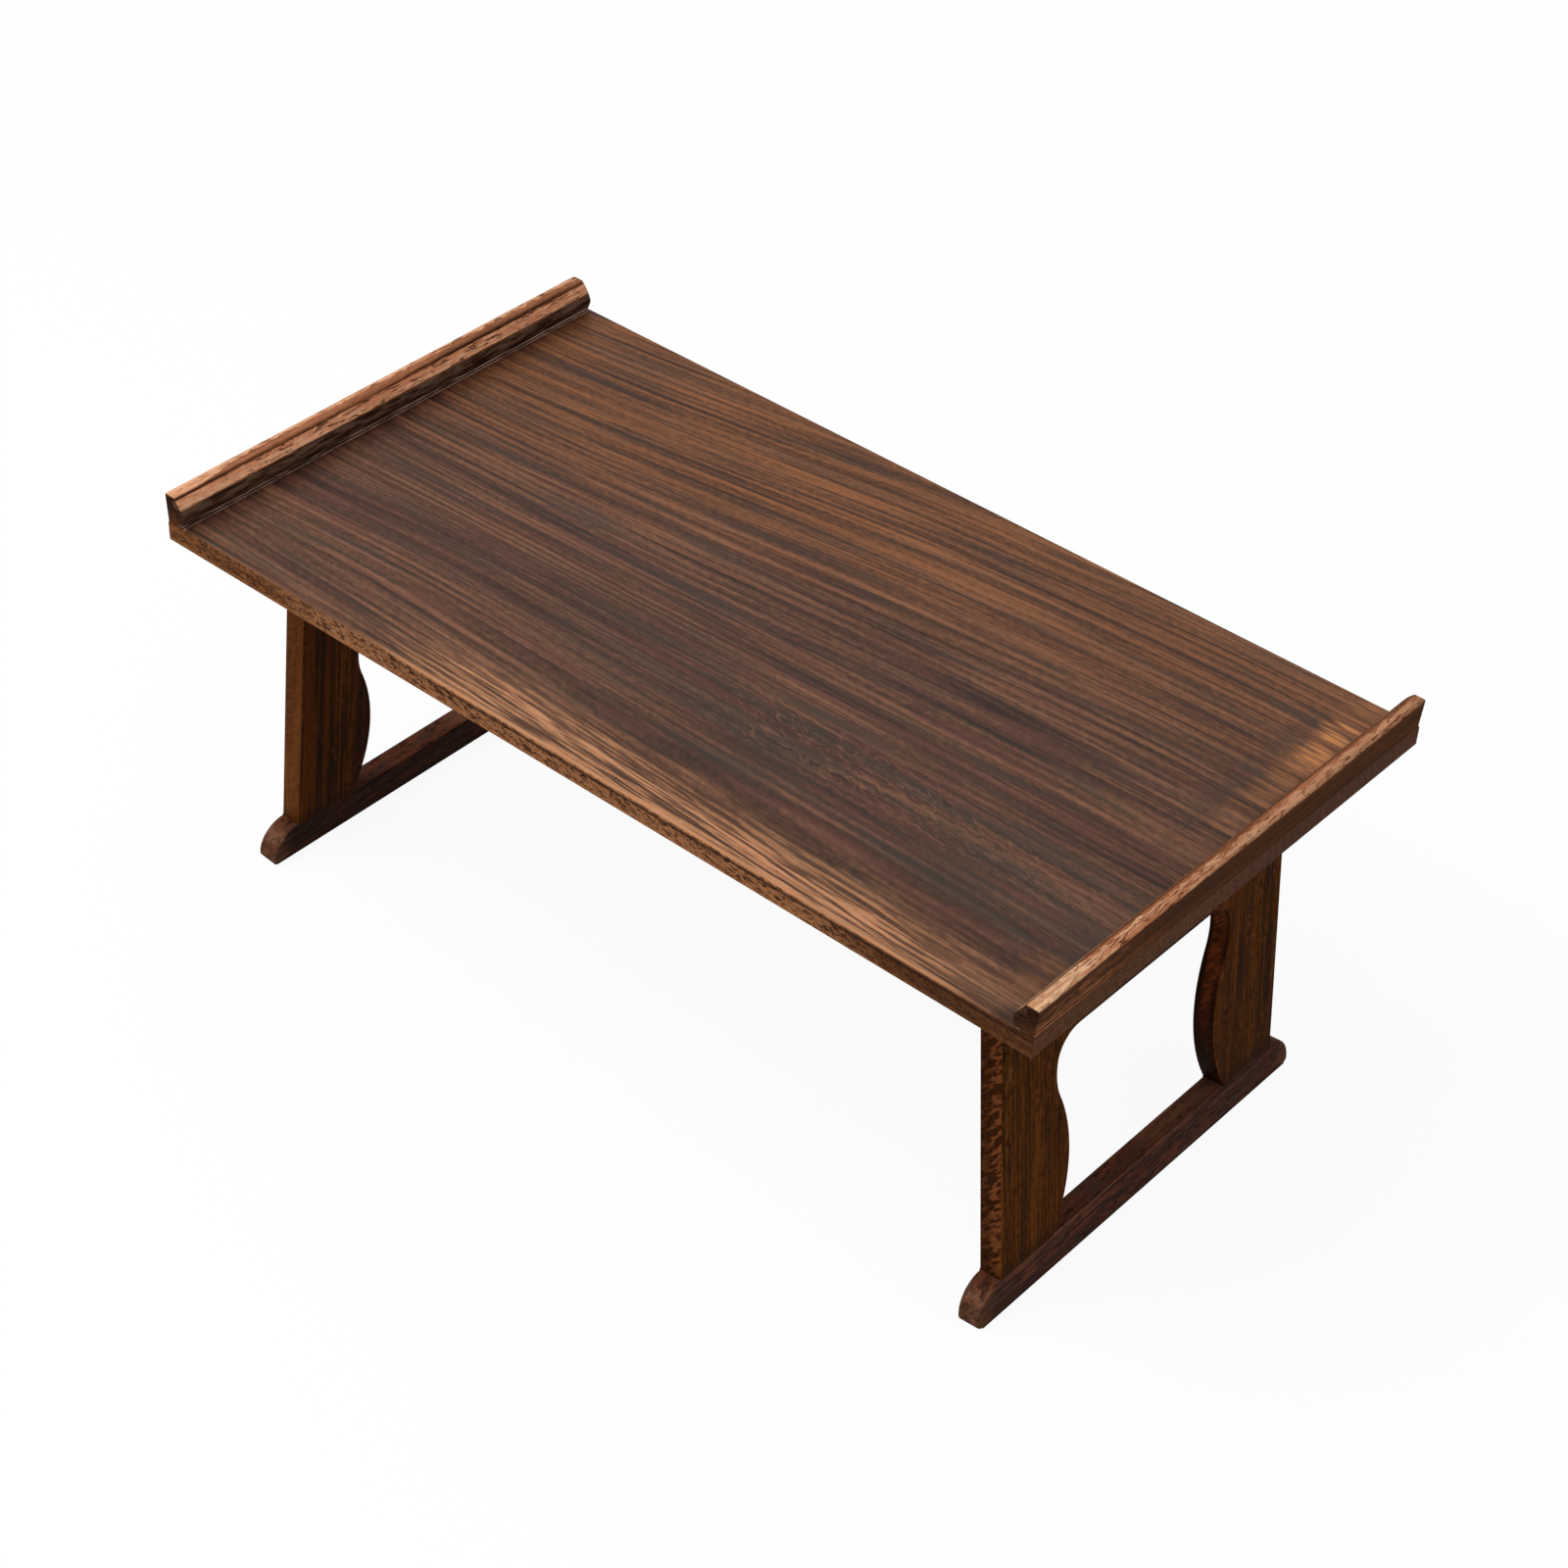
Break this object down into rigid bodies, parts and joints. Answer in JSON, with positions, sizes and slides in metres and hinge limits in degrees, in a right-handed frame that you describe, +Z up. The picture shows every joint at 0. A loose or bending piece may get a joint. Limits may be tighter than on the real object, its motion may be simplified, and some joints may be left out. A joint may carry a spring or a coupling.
{
  "type": "kang table",
  "caption": "Low wooden table with a raised lip along each end and two shaped panel legs on foot runners that fold inward under the top.",
  "frame": {"origin": "on the floor under the middle of the open table", "axes": "+X along the table's length towards the right leg frame, +Y across it towards the back, +Z up"},
  "size_m": [0.7028, 0.378, 0.3],
  "materials": {
    "top_wood": "scorched and brushed softwood, dark brown, low sheen",
    "lip_wood": "scorched wood rubbed back to tan on its crown and bevel",
    "leg_wood": "scorched and brushed softwood, warm dark brown",
    "runner_wood": "scorched wood, dark purplish brown, rubbed at its toes",
    "batten_wood": "scorched softwood, plain",
    "joint_wood": "bare beech, planed",
    "hinge_steel": "bronzed steel, satin",
    "pin_steel": "bronzed steel, worn",
    "screw_steel": "bronzed steel, satin"
  },
  "bodies": {
    "top": {"left_back_hinge_pin": "pin_steel", "left_back_hinge_top_leaf": "hinge_steel", "left_batten_screws": "screw_steel", "left_end_batten": "batten_wood", "left_front_hinge_pin": "pin_steel", "left_front_hinge_top_leaf": "hinge_steel", "left_lip": "lip_wood", "left_lip_dowels": "joint_wood", "left_top_leaf_screws": "screw_steel", "plank_tongues": "joint_wood", "right_back_hinge_pin": "pin_steel", "right_back_hinge_top_leaf": "hinge_steel", "right_batten_screws": "screw_steel", "right_end_batten": "batten_wood", "right_front_hinge_pin": "pin_steel", "right_front_hinge_top_leaf": "hinge_steel", "right_lip": "lip_wood", "right_lip_dowels": "joint_wood", "right_top_leaf_screws": "screw_steel", "top_plank_back": "top_wood", "top_plank_front": "top_wood", "top_plank_middle": "top_wood"},
    "left_leg_frame": {"left_front_leg_board": "leg_wood", "left_back_leg_board": "leg_wood", "left_top_rail": "leg_wood", "left_foot_runner": "runner_wood", "left_front_hinge_leg_leaf": "hinge_steel", "left_back_hinge_leg_leaf": "hinge_steel", "left_leg_leaf_screws": "screw_steel"},
    "right_leg_frame": {"right_front_leg_board": "leg_wood", "right_back_leg_board": "leg_wood", "right_top_rail": "leg_wood", "right_foot_runner": "runner_wood", "right_front_hinge_leg_leaf": "hinge_steel", "right_back_hinge_leg_leaf": "hinge_steel", "right_leg_leaf_screws": "screw_steel"}
  },
  "joints": [
    {"name": "left_leg_fold", "type": "hinge", "parent": "top", "child": "left_leg_frame", "pos_m": [-0.27315, 0, 0.26095], "axis": [0, -1, 0], "range_deg": [0, 95.5]},
    {"name": "right_leg_fold", "type": "hinge", "parent": "top", "child": "right_leg_frame", "pos_m": [0.27315, 0, 0.26095], "axis": [0, 1, 0], "range_deg": [0, 95.5]}
  ]
}
